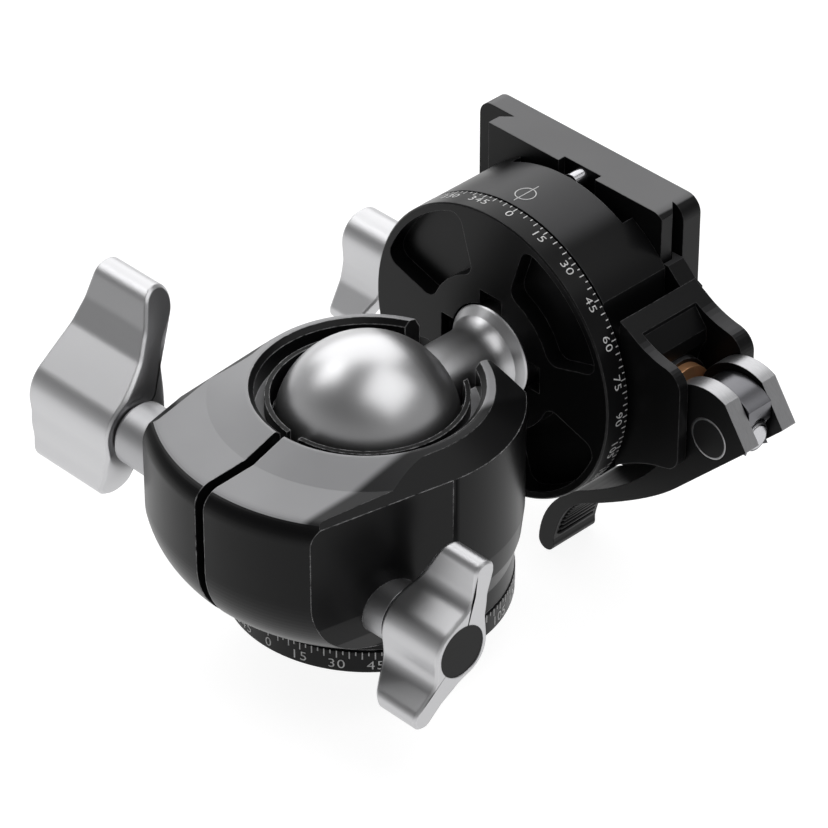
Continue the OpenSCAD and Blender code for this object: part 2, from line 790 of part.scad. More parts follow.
module plate_section() {
    x0 = dovetail_x0;
    x1 = dovetail_x1;
    polygon([
        [x0, plate_near], [x1, plate_near], [x1, bead_far], [x1 - bevel, slab_near],
        [x1 + 0.8, slab_near], [x1 + 0.8, slab_far],
        [x0 - overhang, slab_far], [x0 - overhang, slab_near], [x0 + bevel, slab_near], [x0, bead_far]
    ]);
}

// A rectangle with four round corners
module rounded_rectangle(x0, x1, z0, z1, r) {
    translate([x0 + r, z0]) square([x1 - x0 - 2 * r, z1 - z0]);
    translate([x0, z0 + r]) square([x1 - x0, z1 - z0 - 2 * r]);
    for (x = [x0 + r, x1 - r]) for (z = [z0 + r, z1 - r]) translate([x, z]) circle(r = r);
}

module plate() {
    color("#2a2a2c") difference() {
        intersection() {
            section_along_z(-plate_half, plate_half) plate_section();
            slab_along_stem(plate_near - 1, slab_far + 1) rounded_rectangle(
                dovetail_x0 - overhang, dovetail_x1 + 0.8, -plate_half, plate_half, 2.8);
        }
        section_along_z(-60, 60) translate([-4.1, plate_near - 1]) square([8.2, 2.5]);
        y_bar(6.8, plate_near - 1, plate_near + 3.35);
        y_bar(camera_screw_r + turn_gap, 0, 100);
        stop_screw_places() y_bar(1 + thread_gap, plate_near, plate_near + 4.5);
    }
}

module stop_screw_places() {
    for (side = [-1, 1]) translate([0, 0, side * (plate_half - 1.9)]) children();
}

module plate_stop_screws() {
    color("#c9cacc") stop_screw_places() difference() {
        union() {
            y_bar(1.5, plate_near - 1.3, plate_near + 1.5);
            y_bar(1, plate_near + 1, plate_near + 4.2);
        }
        y_bar(0.75, plate_near - 2, plate_near - 0.4, $fn = 6);
    }
}

module plate_pad() {
    color("#232324") difference() {
        slab_along_stem(slab_far, slab_far + 0.8) rounded_rectangle(
            dovetail_x0 - overhang + 2, dovetail_x1 - 1.2, -plate_half + 2, plate_half - 2, 2);
        y_bar(5, 0, 100);
    }
}

module camera_screw() {
    head_near = plate_near + 0.5;
    head_far = plate_near + 3.25;
    color("#8d8e91") difference() {
        union() {
            y_bar(6.4, head_near, head_far);
            y_bar(camera_screw_r - 0.3, head_near, slab_far + 1.1);
            y_bar(camera_screw_r, slab_far + 1.1, slab_far + 6.3);
        }
        translate([-0.8, head_near - 1, ball_z - 10]) cube([1.6, 2.4, 20]);
    }
}

base_plate();
base_scale_ring();
tripod_insert();
pan_washer();
pan_retainer();
retainer_screws();
housing();
ball_seat();
ball_liner();
main_thread_insert();
main_collar();
pan_collar();
pan_shoe();
main_knob();
main_knob_cap();
main_lock_screw();
pan_knob();
pan_knob_cap();
pan_lock_screw();
ball();
stem();
scale_disc();
clamp_pivot();
pivot_pins();
clamp_body();
clamp_bearing();
clamp_collar();
clamp_shoe();
tension_rod();
lever_barrel();
guide_pins();
jaw_spring();
clamp_knob();
clamp_knob_cap();
clamp_lock_screw();
moving_jaw();
cam_washer();
lever();
plate();
plate_stop_screws();
plate_pad();
camera_screw();
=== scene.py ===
import bpy
import bmesh
import math
import numpy as np
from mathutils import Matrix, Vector


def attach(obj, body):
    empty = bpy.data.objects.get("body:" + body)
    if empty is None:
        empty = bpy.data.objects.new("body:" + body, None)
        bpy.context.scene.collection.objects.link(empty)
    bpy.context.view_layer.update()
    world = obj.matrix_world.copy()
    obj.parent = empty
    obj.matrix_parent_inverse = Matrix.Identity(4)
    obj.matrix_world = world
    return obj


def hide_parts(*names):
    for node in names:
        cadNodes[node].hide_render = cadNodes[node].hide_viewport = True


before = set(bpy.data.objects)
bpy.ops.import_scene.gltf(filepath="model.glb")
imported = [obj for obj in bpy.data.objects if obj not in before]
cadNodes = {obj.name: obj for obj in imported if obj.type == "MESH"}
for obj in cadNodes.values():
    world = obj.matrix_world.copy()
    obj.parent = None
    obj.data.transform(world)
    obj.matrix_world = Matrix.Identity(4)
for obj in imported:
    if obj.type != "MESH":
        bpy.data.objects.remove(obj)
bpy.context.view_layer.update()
mm = 0.001
ballHeight = 32.0
ballCentre = Vector((0, 0, ballHeight * mm))
rodAlong = 41.2  # the tension rod's place along the stem, from the ball's centre
pinAxis = (40.9 * mm, 0.0, ballHeight * mm)  # the lever turns on this line, which runs along the stem
print("frame loaded:", len(cadNodes), "CAD nodes")


# camera: where the photograph was taken from, with a long lens

cameraSetup = {
    "azimuth": 45.598,
    "elevation": 35.903,
    "place": (0.4460, -0.4265, 0.48035),
    "lens": 208.9,
    "sensor": 36.0,
    "seesTo": 20.0,
}


def towards(azimuth, elevation):
    turn = math.radians(azimuth)
    rise = math.radians(elevation)
    return Vector((math.sin(turn) * math.cos(rise), -math.cos(turn) * math.cos(rise), math.sin(rise)))


def makeCamera(setup):
    back = towards(setup["azimuth"], setup["elevation"])
    data = bpy.data.cameras.new("photoCamera")
    data.sensor_width = setup["sensor"]
    data.lens = setup["lens"]
    data.clip_end = setup["seesTo"]
    camera = bpy.data.objects.new("photoCamera", data)
    camera.location = Vector(setup["place"])
    camera.rotation_euler = (-back).to_track_quat("-Z", "Y").to_euler()
    bpy.context.scene.collection.objects.link(camera)
    bpy.context.scene.camera = camera


makeCamera(cameraSetup)
bpy.context.scene.view_settings.view_transform = "Standard"
print("camera placed")


# helpers for shader nodes

def addNode(tree, kind, sockets=None, **settings):
    made = tree.nodes.new("ShaderNode" + kind)
    for key, value in settings.items():
        setattr(made, key, value)
    for key, value in (sockets or {}).items():
        if isinstance(value, bpy.types.NodeSocket):
            tree.links.new(value, made.inputs[key])
        else:
            made.inputs[key].default_value = value
    return made


def maths(tree, operation, first, second=0.0, clamp=False):
    made = addNode(tree, "Math", {0: first, 1: second}, operation=operation, use_clamp=clamp)
    return made.outputs[0]


mixSockets = {"first": 6, "second": 7, "result": 2}  # a Mix node's own places for colours


def mixColours(tree, share, first, second):
    made = addNode(tree, "Mix", {"Factor": share}, data_type="RGBA")
    for place, colour in ((mixSockets["first"], first), (mixSockets["second"], second)):
        if isinstance(colour, bpy.types.NodeSocket):
            tree.links.new(colour, made.inputs[place])
        else:
            made.inputs[place].default_value = (*colour, 1.0)
    return made.outputs[mixSockets["result"]]


def newGroup(name, inputs, outputs):
    group = bpy.data.node_groups.new(name, "ShaderNodeTree")
    for label, kind, value in inputs:
        socket = group.interface.new_socket(label, in_out="INPUT", socket_type="NodeSocket" + kind)
        if value is not None:
            socket.default_value = value
    for label, kind in outputs:
        group.interface.new_socket(label, in_out="OUTPUT", socket_type="NodeSocket" + kind)
    source = group.nodes.new("NodeGroupInput").outputs
    target = group.nodes.new("NodeGroupOutput").inputs
    return group, source, target


# fine blasted grain, and the broad unevenness that handling leaves

def makeSatinGrain():
    group, source, target = newGroup(
        "satinGrain",
        [("Vector", "Vector", None), ("Grain Scale", "Float", 5200.0), ("Patch Scale", "Float", 60.0)],
        [("Grain", "Float"), ("Patch", "Float")],
    )
    sockets = {"Vector": source["Vector"], "Scale": source["Grain Scale"], "Detail": 2.0}
    fine = addNode(group, "TexNoise", sockets)
    sockets = {"Vector": source["Vector"], "Scale": source["Patch Scale"], "Detail": 4.0}
    broad = addNode(group, "TexNoise", sockets)
    group.links.new(fine.outputs["Fac"], target["Grain"])
    group.links.new(broad.outputs["Fac"], target["Patch"])
    return group


# lines that a lathe tool leaves round an axis, on faces and on round walls alike

def makeTurnedLines():
    group, source, target = newGroup(
        "turnedLines",
        [("Vector", "Vector", None), ("Axis Point", "Vector", (0, 0, 0)), ("Axis", "Vector", (0, 0, 1)),
         ("Lines Per Metre", "Float", 3000.0)],
        [("Lines", "Float")],
    )
    arm = addNode(group, "VectorMath", {0: source["Vector"], 1: source["Axis Point"]}, operation="SUBTRACT")
    along = addNode(group, "VectorMath", {0: arm.outputs[0], 1: source["Axis"]}, operation="DOT_PRODUCT")
    across = addNode(group, "VectorMath", {0: arm.outputs[0], 1: source["Axis"]}, operation="CROSS_PRODUCT")
    radius = addNode(group, "VectorMath", {0: across.outputs[0]}, operation="LENGTH")
    place = maths(group, "ADD", along.outputs["Value"], radius.outputs["Value"])
    place = maths(group, "MULTIPLY", place, source["Lines Per Metre"])
    lines = addNode(group, "TexNoise", {"W": place, "Scale": 1.0, "Detail": 2.0}, noise_dimensions="1D")
    group.links.new(lines.outputs["Fac"], target["Lines"])
    return group


# streaks of a belt or brush, drawn out along one direction

def makeBrushStreaks():
    group, source, target = newGroup(
        "brushStreaks",
        [("Vector", "Vector", None), ("Stretch", "Vector", (4000.0, 4000.0, 200.0))],
        [("Streaks", "Float")],
    )
    drawn = addNode(group, "VectorMath", {0: source["Vector"], 1: source["Stretch"]}, operation="MULTIPLY")
    streaks = addNode(group, "TexNoise", {"Vector": drawn.outputs[0], "Scale": 1.0, "Detail": 3.0})
    group.links.new(streaks.outputs["Fac"], target["Streaks"])
    return group


# edges: a normal that rounds them slightly, and a mask where the edge is painted brighter, partly as wear
# and partly as a painted highlight

edgeShape = {
    "samples": 6,
    "edgeTurn": {"From Min": 0.01, "From Max": 0.12},  # how far the rounded normal turns before the edge shows
    "chips": {"From Min": 0.3, "From Max": 0.7},
    "chipScale": 900.0,
}


def makeEdgeWear():
    group, source, target = newGroup(
        "edgeWearAndHighlight",
        [("Vector", "Vector", None), ("Radius", "Float", 0.0002), ("Wear And Highlight", "Float", 0.3)],
        [("Edge", "Float"), ("Normal", "Vector")],
    )
    rounded = addNode(group, "Bevel", {"Radius": source["Radius"]}, samples=edgeShape["samples"])
    flat = addNode(group, "NewGeometry")
    sockets = {0: rounded.outputs["Normal"], 1: flat.outputs["Normal"]}
    match = addNode(group, "VectorMath", sockets, operation="DOT_PRODUCT")
    turned = maths(group, "SUBTRACT", 1.0, match.outputs["Value"])
    ramp = addNode(group, "MapRange", {"Value": turned, **edgeShape["edgeTurn"]})
    sockets = {"Vector": source["Vector"], "Scale": edgeShape["chipScale"], "Detail": 3.0}
    uneven = addNode(group, "TexNoise", sockets)
    chips = addNode(group, "MapRange", {"Value": uneven.outputs["Fac"], **edgeShape["chips"]})
    edge = maths(group, "MULTIPLY", ramp.outputs[0], chips.outputs[0])
    edge = maths(group, "MULTIPLY", edge, source["Wear And Highlight"])
    group.links.new(edge, target["Edge"])
    group.links.new(rounded.outputs["Normal"], target["Normal"])
    return group


# painted sheen: a lighter base colour painted where a face looks up, standing in for the soft light that
# blasted black faces catch there; it fades out past a limit along x

paintedSheenShape = {
    "cloudScale": 45.0,
    "cloud": {"From Min": 0.3, "From Max": 0.7, "To Min": 0.88, "To Max": 1.0},
    "sideFade": {"From Min": -1.2 * mm, "From Max": 0.4 * mm, "To Min": 1.0, "To Max": 0.06},
}


def makeUpwardHaze():
    group, source, target = newGroup(
        "paintedUpwardSheen",
        [("Vector", "Vector", None), ("Facing", "Vector", None), ("From", "Float", 0.88),
         ("To", "Float", 0.95), ("Side Limit", "Float", 1.0)],
        [("Painted Sheen", "Float")],
    )
    upward = addNode(group, "SeparateXYZ", {0: source["Facing"]}).outputs["Z"]
    sockets = {"Value": upward, "From Min": source["From"], "From Max": source["To"]}
    ramp = addNode(group, "MapRange", sockets, interpolation_type="SMOOTHSTEP")
    sockets = {"Vector": source["Vector"], "Scale": paintedSheenShape["cloudScale"], "Detail": 3.0}
    cloud = addNode(group, "TexNoise", sockets)
    level = addNode(group, "MapRange", {"Value": cloud.outputs["Fac"], **paintedSheenShape["cloud"]})
    side = addNode(group, "SeparateXYZ", {0: source["Vector"]}).outputs["X"]
    past = maths(group, "SUBTRACT", side, source["Side Limit"])
    sockets = {"Value": past, **paintedSheenShape["sideFade"]}
    near = addNode(group, "MapRange", sockets, interpolation_type="SMOOTHSTEP")
    paintedSheen = maths(group, "MULTIPLY", ramp.outputs[0], level.outputs[0])
    group.links.new(maths(group, "MULTIPLY", paintedSheen, near.outputs[0]), target["Painted Sheen"])
    return group


groups = {
    "paintedSheen": makeUpwardHaze(),
    "grain": makeSatinGrain(),
    "turned": makeTurnedLines(),
    "brushed": makeBrushStreaks(),
    "edge": makeEdgeWear(),
}
print("finish groups made:", len(groups))


def addGroup(tree, which, sockets):
    made = tree.nodes.new("ShaderNodeGroup")
    made.node_tree = groups[which]
    for key, value in sockets.items():
        if isinstance(value, bpy.types.NodeSocket):
            tree.links.new(value, made.inputs[key])
        else:
            made.inputs[key].default_value = value
    return made.outputs


# finishes: each is one dictionary, and the sockets that don't change over a surface are set on the shader

finishBase = {
    "colour": (0.5, 0.5, 0.5), "dark": 0.85, "metallic": 0.0, "roughness": 0.35, "specular": 0.5,
    "patch": 0.06, "grainBump": 0.08, "edgeRadius": 0.0002, "wearAndHighlight": 0.2, "wornAndHighlightColour": (0.3, 0.3, 0.31),
    "turned": None, "brushed": None, "lineRough": 0.1, "lineBump": 0.1, "paintedSheen": None, "paintedSheenSide": 1.0,
    "bumpDistance": 0.00002, "bumpStrength": 0.6,
}


def makeFinish(name, changes):
    look = {**finishBase, **changes}
    material = bpy.data.materials.new(name)
    material.use_nodes = True
    tree = material.node_tree
    shader = tree.nodes["Principled BSDF"]
    coordinates = addNode(tree, "TexCoord").outputs
    place = coordinates["Object"]
    grain = addGroup(tree, "grain", {"Vector": place})
    edge = addGroup(tree, "edge", {"Vector": place, "Radius": look["edgeRadius"], "Wear And Highlight": look["wearAndHighlight"]})
    height = maths(tree, "MULTIPLY", grain["Grain"], look["grainBump"])
    pattern, share = grain["Patch"], look["patch"]
    if look["turned"]:
        point, axis, perMetre = look["turned"]
        sockets = {"Vector": place, "Axis Point": point, "Axis": axis, "Lines Per Metre": perMetre}
        pattern, share = addGroup(tree, "turned", sockets)["Lines"], look["lineRough"]
    if look["brushed"]:
        sockets = {"Vector": place, "Stretch": look["brushed"]}
        pattern, share = addGroup(tree, "brushed", sockets)["Streaks"], look["lineRough"]
    if look["turned"] or look["brushed"]:
        height = maths(tree, "ADD", height, maths(tree, "MULTIPLY", pattern, look["lineBump"]))
    rough = maths(tree, "MULTIPLY_ADD", maths(tree, "SUBTRACT", pattern, 0.5), share)
    rough.node.inputs[2].default_value = look["roughness"]
    darker = tuple(part * look["dark"] for part in look["colour"])
    colour = mixColours(tree, grain["Patch"], darker, look["colour"])
    # painted sheen: upward faces are mixed towards a lighter colour
    if look["paintedSheen"]:
        sockets = {"Vector": place, "Facing": coordinates["Normal"], "Side Limit": look["paintedSheenSide"]}
        colour = mixColours(tree, addGroup(tree, "paintedSheen", sockets)["Painted Sheen"], colour, look["paintedSheen"])
    # edges: a brighter colour, partly wear and partly painted highlight
    colour = mixColours(tree, edge["Edge"], colour, look["wornAndHighlightColour"])
    bump = addNode(tree, "Bump", {
        "Height": height, "Normal": edge["Normal"], "Distance": look["bumpDistance"],
        "Strength": look["bumpStrength"],
    })
    tree.links.new(colour, shader.inputs["Base Color"])
    tree.links.new(rough, shader.inputs["Roughness"])
    tree.links.new(bump.outputs["Normal"], shader.inputs["Normal"])
    shader.inputs["Metallic"].default_value = look["metallic"]
    shader.inputs["Specular IOR Level"].default_value = look["specular"]
    return material


# axes that turned lines run round, and points on them

stemAxis = (0.0, 1.0, 0.0)
upAxis = (0.0, 0.0, 1.0)
sideAxis = (1.0, 0.0, 0.0)
stemPoint = tuple(ballCentre)
rodPoint = (0.0, rodAlong * mm, ballHeight * mm)

# two metal looks that the others start from: satin black anodising and plain anodised or bare metal

blackLook = {
    "colour": (0.0060, 0.0060, 0.0064), "dark": 0.75, "roughness": 0.30, "specular": 0.14,
    "patch": 0.05, "grainBump": 0.03, "wearAndHighlight": 0.45, "wornAndHighlightColour": (0.30, 0.30, 0.31),
}
silverLook = {
    "colour": (0.58, 0.58, 0.59), "dark": 0.95, "metallic": 1.0, "roughness": 0.33,
    "patch": 0.04, "grainBump": 0.015, "wearAndHighlight": 0.35, "wornAndHighlightColour": (0.86, 0.86, 0.87),
}
# the housing's and liner's edges: near white, partly a bare chamfer and partly a painted highlight
bareEdgeAndHighlight = {"edgeRadius": 0.26 * mm, "wearAndHighlight": 0.9, "wornAndHighlightColour": (0.85, 0.85, 0.86)}

looks = {
    # the housing, clamp body and plate carry a painted sheen on their upward faces
    "housingBlack": {**blackLook, **bareEdgeAndHighlight, "paintedSheen": (0.36, 0.36, 0.37), "paintedSheenSide": 17.3 * mm},
    "discBlack": {**blackLook, "turned": (stemPoint, stemAxis, 2500.0), "lineRough": 0.06},
    "baseBlack": {**blackLook, "turned": ((0, 0, 0), upAxis, 2500.0), "lineRough": 0.06},
    "clampBlack": {**blackLook, "roughness": 0.34, "paintedSheen": (0.050, 0.050, 0.052)},
    "plateBlack": {**blackLook, "roughness": 0.38, "grainBump": 0.2, "paintedSheen": (0.150, 0.150, 0.153)},
    "leverBlack": {**blackLook, "roughness": 0.36},
    "linerBlack": {**blackLook, **bareEdgeAndHighlight, "roughness": 0.45},
    "capBlack": {**blackLook, "roughness": 0.27, "grainBump": 0.02},
    "ballSilver": {
        **silverLook, "roughness": 0.36, "turned": (stemPoint, stemAxis, 1800.0), "lineRough": 0.03,
        "lineBump": 0.004,
    },
    "stemSilver": {
        **silverLook, "colour": (0.52, 0.52, 0.53), "turned": (stemPoint, stemAxis, 3000.0),
        "lineRough": 0.08, "lineBump": 0.012,
    },
    "knobSilver": {
        **silverLook, "colour": (0.54, 0.54, 0.55), "roughness": 0.37, "brushed": (350.0, 5200.0, 5200.0),
        "lineRough": 0.05, "lineBump": 0.008, "edgeRadius": 0.4 * mm,
    },
    "collarSilver": {
        **silverLook, "colour": (0.40, 0.40, 0.41), "roughness": 0.42, "brushed": (5000.0, 200.0, 200.0),
        "lineRough": 0.08, "lineBump": 0.01,
    },
    "steelTurned": {**silverLook, "colour": (0.50, 0.50, 0.52), "roughness": 0.24},
    "steelDark": {
        **silverLook, "colour": (0.17, 0.17, 0.18), "roughness": 0.30, "wornAndHighlightColour": (0.5, 0.5, 0.52),
        "brushed": (5000.0, 300.0, 5000.0),
    },
    "bronzeWasher": {
        **silverLook, "colour": (0.92, 0.47, 0.23), "dark": 0.88, "metallic": 0.75,
        "wornAndHighlightColour": (0.95, 0.62, 0.38), "turned": (rodPoint, sideAxis, 4000.0), "lineRough": 0.15,
    },
    "brassMachined": {**silverLook, "colour": (0.72, 0.55, 0.28), "wornAndHighlightColour": (0.85, 0.7, 0.4)},
    "bearingPlastic": {"colour": (0.72, 0.70, 0.64), "roughness": 0.5, "wearAndHighlight": 0.0, "grainBump": 0.05},
    "padRubber": {"colour": (0.018, 0.018, 0.018), "roughness": 0.75, "wearAndHighlight": 0.0, "grainBump": 0.5},
    "laserMark": {"colour": (0.80, 0.80, 0.80), "roughness": 0.5, "wearAndHighlight": 0.0, "specular": 0.3},
}
finishes = {name: makeFinish(name, look) for name, look in looks.items()}

# which finish each CAD node has

finishOf = {
    "base_plate": "baseBlack", "base_scale_ring": "baseBlack", "tripod_insert": "steelTurned",
    "pan_washer": "bearingPlastic", "pan_retainer": "steelTurned", "retainer_screws": "steelTurned",
    "housing": "housingBlack", "ball_seat": "bearingPlastic", "ball_liner": "linerBlack",
    "main_thread_insert": "brassMachined", "main_collar": "collarSilver", "pan_collar": "collarSilver",
    "pan_shoe": "brassMachined", "main_knob": "knobSilver", "main_knob_cap": "capBlack",
    "main_lock_screw": "steelTurned", "pan_knob": "knobSilver", "pan_knob_cap": "capBlack",
    "pan_lock_screw": "steelTurned", "ball": "ballSilver", "stem": "stemSilver",
    "scale_disc": "discBlack", "clamp_pivot": "steelTurned", "pivot_pins": "steelTurned",
    "clamp_body": "clampBlack", "clamp_bearing": "brassMachined", "clamp_collar": "collarSilver",
    "clamp_shoe": "brassMachined", "tension_rod": "steelDark", "lever_barrel": "barrelTwoTone",
    "guide_pins": "steelTurned", "jaw_spring": "steelTurned", "clamp_knob": "knobSilver",
    "clamp_knob_cap": "capBlack", "clamp_lock_screw": "steelTurned", "moving_jaw": "clampBlack",
    "cam_washer": "bronzeWasher", "lever": "leverTwoTone", "plate": "plateBlack",
    "plate_stop_screws": "steelTurned", "plate_pad": "padRubber", "camera_screw": "steelTurned",
}


# the lever's cams are milled bare after the black finish; the barrel has black ends with a bare ring,
# and a dark drum between the lever's ears

leverBare = {
    "camFrom": 7.0 * mm, "lowest": 33.1 * mm, "facing": 0.6, "streaks": (900.0, 9000.0, 900.0),
    "dark": (0.34, 0.34, 0.35), "light": (0.50, 0.50, 0.51),
}
barrelEnd = {"ringFrom": 3.3 * mm, "facing": 0.9, "drumHalf": 3.2 * mm, "drumColour": (0.15, 0.15, 0.16)}


def distanceFromPin(tree, place):
    arm = addNode(tree, "VectorMath", {0: place, 1: pinAxis}, operation="SUBTRACT").outputs[0]
    flat = addNode(tree, "VectorMath", {0: arm, 1: (1.0, 0.0, 1.0)}, operation="MULTIPLY").outputs[0]
    return addNode(tree, "VectorMath", {0: flat}, operation="LENGTH").outputs["Value"]


def makeLeverFinish():
    material = makeFinish("leverTwoTone", looks["leverBlack"])
    tree = material.node_tree
    shader = tree.nodes["Principled BSDF"]
    coordinates = addNode(tree, "TexCoord")
    place = coordinates.outputs["Object"]
    split = addNode(tree, "SeparateXYZ", {0: place})
    facing = addNode(tree, "SeparateXYZ", {0: coordinates.outputs["Normal"]})
    sideways = maths(tree, "ABSOLUTE", facing.outputs["Y"])
    isEdge = maths(tree, "LESS_THAN", sideways, leverBare["facing"])
    isHigh = maths(tree, "GREATER_THAN", split.outputs["Z"], leverBare["lowest"])
    isCam = maths(tree, "GREATER_THAN", distanceFromPin(tree, place), leverBare["camFrom"])
    bare = maths(tree, "MULTIPLY", maths(tree, "MULTIPLY", isEdge, isHigh), isCam)
    streaks = addGroup(tree, "brushed", {"Vector": place, "Stretch": leverBare["streaks"]})["Streaks"]
    silver = mixColours(tree, streaks, leverBare["dark"], leverBare["light"])
    black = shader.inputs["Base Color"].links[0].from_socket
    tree.links.new(mixColours(tree, bare, black, silver), shader.inputs["Base Color"])
    tree.links.new(bare, shader.inputs["Metallic"])
    return material


def makeBarrelFinish():
    material = makeFinish("barrelTwoTone", {**silverLook, "roughness": 0.28})
    tree = material.node_tree
    shader = tree.nodes["Principled BSDF"]
    coordinates = addNode(tree, "TexCoord")
    place = coordinates.outputs["Object"]
    facing = addNode(tree, "SeparateXYZ", {0: coordinates.outputs["Normal"]})
    isEnd = maths(tree, "GREATER_THAN", maths(tree, "ABSOLUTE", facing.outputs["Y"]), barrelEnd["facing"])
    isInside = maths(tree, "LESS_THAN", distanceFromPin(tree, place), barrelEnd["ringFrom"])
    dark = maths(tree, "MULTIPLY", isEnd, isInside)
    silver = shader.inputs["Base Color"].links[0].from_socket
    along = addNode(tree, "SeparateXYZ", {0: place}).outputs["Y"]
    offMiddle = maths(tree, "ABSOLUTE", maths(tree, "SUBTRACT", along, rodAlong * mm))
    isDrum = maths(tree, "LESS_THAN", offMiddle, barrelEnd["drumHalf"])
    silver = mixColours(tree, isDrum, silver, barrelEnd["drumColour"])
    tree.links.new(mixColours(tree, dark, silver, blackLook["colour"]), shader.inputs["Base Color"])
    tree.links.new(maths(tree, "SUBTRACT", 1.0, dark), shader.inputs["Metallic"])
    return material


finishes["leverTwoTone"] = makeLeverFinish()
finishes["barrelTwoTone"] = makeBarrelFinish()

for name, node in cadNodes.items():
    node.data.materials.clear()
    node.data.materials.append(finishes[finishOf[name]])
print("finishes given:", len(finishes))


# pieces made here

def addPiece(name, mesh, body, finish, smooth=False):
    piece = bpy.data.objects.new(name, mesh)
    bpy.context.scene.collection.objects.link(piece)
    mesh.materials.clear()
    mesh.materials.append(finishes[finish])
    for face in mesh.polygons:
        face.use_smooth = smooth
    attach(piece, body)
    return piece


def meshFrom(name, shape):
    bmesh.ops.recalc_face_normals(shape, faces=shape.faces)
    mesh = bpy.data.meshes.new(name)
    shape.to_mesh(mesh)
    shape.free()
    return mesh


def joinRings(shape, rings):
    for here, following in zip(rings, rings[1:]):
        for k in range(len(here)):
            after = (k + 1) % len(here)
            shape.faces.new([here[k], here[after], following[after], following[k]])


def addBlock(shape, low, high, place):
    corners = []
    for w in (low[2], high[2]):
        for u, v in ((low[0], low[1]), (high[0], low[1]), (high[0], high[1]), (low[0], high[1])):
            corners.append(shape.verts.new(place(u, v, w)))
    for loop in ((3, 2, 1, 0), (4, 5, 6, 7), (0, 1, 5, 4), (1, 2, 6, 5), (2, 3, 7, 6), (3, 0, 4, 7)):
        shape.faces.new([corners[i] for i in loop])


# figures: Blender's own lettering turned into a thin solid, scaled and laid round a scale by place()

numeralStyle = {"resolution": 6, "spacing": 1.12, "thinned": 0.006}


def addNumeral(shape, words, height, stretch, middle, thick, place):
    curve = bpy.data.curves.new("numeral", "FONT")
    curve.body = words
    curve.resolution_u = numeralStyle["resolution"]
    curve.extrude = 0.5
    curve.space_character = numeralStyle["spacing"]
    curve.offset = -numeralStyle["thinned"]
    source = bpy.data.objects.new("numeral", curve)
    bpy.context.scene.collection.objects.link(source)
    bpy.context.view_layer.update()
    mesh = bpy.data.meshes.new_from_object(source.evaluated_get(bpy.context.evaluated_depsgraph_get()))
    across = [v.co.x for v in mesh.vertices]
    upward = [v.co.y for v in mesh.vertices]
    scale = height / (max(upward) - min(upward))
    centreX = (max(across) + min(across)) / 2
    centreY = (max(upward) + min(upward)) / 2
    made = []
    for v in mesh.vertices:
        u = (v.co.x - centreX) * scale * stretch + middle[0]
        made.append(shape.verts.new(place(u, (v.co.y - centreY) * scale + middle[1], v.co.z * thick)))
    for face in mesh.polygons:
        shape.faces.new([made[i] for i in face.vertices])
    bpy.data.objects.remove(source)
    bpy.data.curves.remove(curve)
    bpy.data.meshes.remove(mesh)


# degree scales: the lower one round the base, the upper one round the disc's rim

tickDegrees = 2.5
numeralDegrees = 15
baseScale = {
    "radius": 23.75, "zeroAt": -86.4, "top": 4.22, "long": 1.40, "short": 0.70, "wide": 0.20,
    "numeral": 1.66, "stretch": 1.15, "numeralAt": 1.64, "proud": 0.03,
}
discScale = {
    "radius": 26.3, "zeroAt": 2.7, "top": 32.10, "long": 0.98, "short": 0.52, "wide": 0.18,
    "numeral": 1.42, "stretch": 1.25, "numeralAt": 30.28, "proud": 0.03,
}


def roundBase(u, v, w):
    angle = math.radians(baseScale["zeroAt"]) + u / baseScale["radius"]
    radius = baseScale["radius"] + w
    return Vector((radius * math.cos(angle), radius * math.sin(angle), v)) * mm


def roundStem(u, v, w, zeroAt=0.0):
    angle = math.radians(zeroAt) + u / discScale["radius"]
    radius = discScale["radius"] + w
    return Vector((radius * math.sin(angle), v, radius * math.cos(angle))) * mm + ballCentre


def roundDisc(u, v, w):
    return roundStem(u, v, w, discScale["zeroAt"])


def makeScale(name, look, place, body):
    shape = bmesh.new()
    perDegree = math.radians(1) * look["radius"]
    for step in range(int(360 / tickDegrees)):
        u = step * tickDegrees * perDegree
        drop = look["long"] if step % 2 == 0 else look["short"]
        low = (u - look["wide"] / 2, look["top"] - drop, -look["proud"])
        high = (u + look["wide"] / 2, look["top"], look["proud"])
        addBlock(shape, low, high, place)
    for degrees in range(0, 360, numeralDegrees):
        middle = (degrees * perDegree, look["numeralAt"])
        addNumeral(shape, str(degrees), look["numeral"], look["stretch"], middle, 2 * look["proud"], place)
    addPiece(name, meshFrom(name, shape), body, "laserMark")


makeScale("baseScaleMarks", baseScale, roundBase, "base")
makeScale("discScaleMarks", discScale, roundDisc, "stem")

# the index on the clamp's rim, a ring with a line through it

indexMark = {
    "x": -0.95, "y": 36.2, "ring": 1.70, "wide": 0.17, "lineFrom": 33.5, "lineTo": 39.2, "proud": 0.03,
    "steps": 48,
}


def makeIndexMark(look):
    shape = bmesh.new()
    half = look["wide"] / 2
    low = (look["x"] - half, look["lineFrom"], -look["proud"])
    high = (look["x"] + half, look["lineTo"], look["proud"])
    addBlock(shape, low, high, roundStem)
    steps = look["steps"]
    rows = []
    for i in range(steps):
        turn = 2 * math.pi * i / steps
        row = []
        for radius, w in ((-half, -1), (half, -1), (half, 1), (-half, 1)):
            reach = look["ring"] + radius
            u = look["x"] + reach * math.cos(turn)
            v = look["y"] + reach * math.sin(turn)
            row.append(shape.verts.new(roundStem(u, v, w * look["proud"])))
        rows.append(row)
    joinRings(shape, rows + rows[:1])
    addPiece("indexMark", meshFrom("indexMark", shape), "clamp", "laserMark")


makeIndexMark(indexMark)
print("scales and index mark made")


# grip ridges across the lever's tab

tabRidges = {
    "count": 9, "from": 0.30, "to": 0.93, "radius": 0.42, "near": 36.1, "far": 44.6, "endLength": 0.3,
    "endSwell": 0.4, "sides": 12, "curve": ((14.1, -27.2), (9.2, -30.0), (7.6, -38.2)),
}


def tabCurve(t):
    start, control, end = (Vector(point) for point in tabRidges["curve"])
    return start * (1 - t) ** 2 + control * 2 * t * (1 - t) + end * t * t


